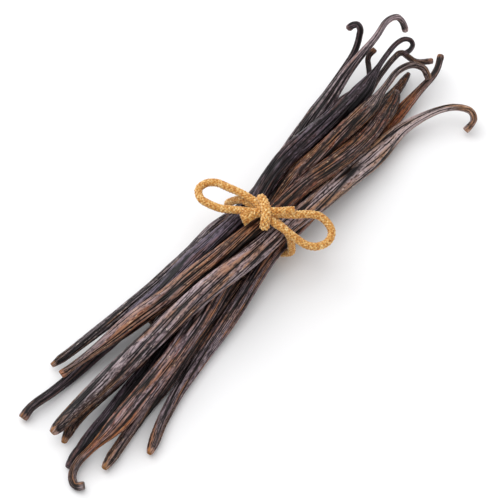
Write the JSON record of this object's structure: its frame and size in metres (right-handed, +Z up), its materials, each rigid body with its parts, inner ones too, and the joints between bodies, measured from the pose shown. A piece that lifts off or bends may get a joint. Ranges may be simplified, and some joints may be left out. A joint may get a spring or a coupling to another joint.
{
  "type": "bundle of vanilla pods",
  "caption": "Bundle of long, wrinkled cured vanilla pods with hooked stem ends, tied round the middle with a cotton cord in a bow.",
  "frame": {"origin": "middle of the bundle's outline on the surface that it lies on", "axes": "+X along the bundle towards the hooked stem ends, +Y across it towards the left loop of the bow, +Z up"},
  "size_m": [0.2004, 0.0546, 0.0262],
  "materials": {
    "cured_pod_mauve": "oily wrinkled skin, grey-mauve ridges over dark furrows",
    "cured_pod_dark": "oily wrinkled skin, near black with blue-grey ridges",
    "cured_pod_brown": "oily wrinkled skin, dark brown with tan flecks",
    "cured_pod_rust": "oily wrinkled skin, rust-brown ridges",
    "cotton_cord": "braided, matt, golden tan"
  },
  "bodies": {
    "root": {"pod_01": "cured_pod_mauve", "pod_02": "cured_pod_dark", "pod_03": "cured_pod_brown", "pod_04": "cured_pod_mauve", "pod_05": "cured_pod_brown", "pod_06": "cured_pod_dark", "pod_07": "cured_pod_rust", "pod_08": "cured_pod_brown", "pod_09": "cured_pod_rust", "pod_10": "cured_pod_dark", "tie_cord": "cotton_cord"}
  },
  "joints": []
}
